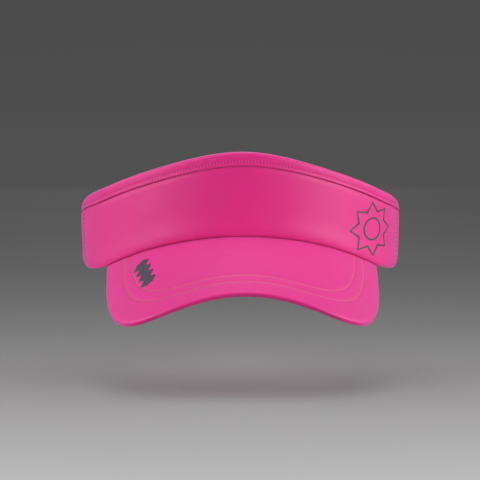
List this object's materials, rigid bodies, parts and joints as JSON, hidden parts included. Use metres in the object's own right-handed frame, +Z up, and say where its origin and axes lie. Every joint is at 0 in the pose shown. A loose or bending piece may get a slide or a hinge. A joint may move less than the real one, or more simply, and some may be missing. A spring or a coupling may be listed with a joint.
{
  "type": "sun visor",
  "caption": "Sports sun visor with a tall padded front panel, a curved stiffened brim and a strap closed at the back by an elastic insert and a hook-and-loop tab.",
  "frame": {"origin": "centre of the head oval, level with the front of the seam between panel and brim", "axes": "+Z up along the wearer's head, -Y towards the brim, +X to the wearer's left"},
  "size_m": [0.1942, 0.2408, 0.1003],
  "materials": {
    "panel_cloth": "smooth fine woven polyester, satin-matte hot pink",
    "brim_cloth": "smooth fine woven polyester, satin-matte hot pink",
    "lining_cloth": "plain woven lining, pink, matte",
    "wicking_cloth": "soft brushed wicking knit, pink, matte",
    "foam": "laminated foam and felt interlining, off-white, matte",
    "board": "die-cut polyethylene sheet, white, satin",
    "elastic": "ribbed woven elastic webbing, pink, matte",
    "loop": "brushed loop tape, pink, fuzzy matte",
    "hook": "hook tape, pink nylon, rows of fine hooks",
    "film": "heat-transfer film, dark grey, satin",
    "label": "folded satin label tape, white, blank"
  },
  "bodies": {
    "crown": {"front_panel_shell": "panel_cloth", "front_panel_foam": "foam", "front_panel_lining": "lining_cloth", "top_binding": "panel_cloth", "sweatband_padding": "foam", "sweatband_cover": "wicking_cloth", "side_mark_rays": "film", "side_mark_ring": "film", "brim_top_cover": "brim_cloth", "brim_board": "board", "brim_bottom_cover": "brim_cloth", "brim_edge_seam": "brim_cloth", "brim_seam_allowance": "brim_cloth", "brim_mark": "film", "left_strap_shell": "panel_cloth", "left_strap_interlining": "foam", "left_strap_lining": "lining_cloth", "right_strap_shell": "panel_cloth", "right_strap_interlining": "foam", "right_strap_lining": "lining_cloth", "elastic_webbing": "elastic", "loop_patch": "loop", "care_label": "label", "size_label": "label"},
    "tab_root": {"tab_root_shell": "panel_cloth", "tab_root_lining": "lining_cloth"},
    "tab_end": {"tab_shell": "panel_cloth", "tab_lining": "lining_cloth", "hook_patch": "hook"}
  },
  "joints": [
    {"name": "size_adjust", "type": "hinge", "parent": "crown", "child": "tab_root", "pos_m": [0, 0, 0], "axis": [0, 0, 1], "range_deg": [-6, 6], "deforming": ["elastic_webbing"]},
    {"name": "tab_peel", "type": "hinge", "parent": "tab_root", "child": "tab_end", "pos_m": [0.02031, 0.09556, 0], "axis": [0, 0, -1], "range_deg": [0, 110]}
  ]
}
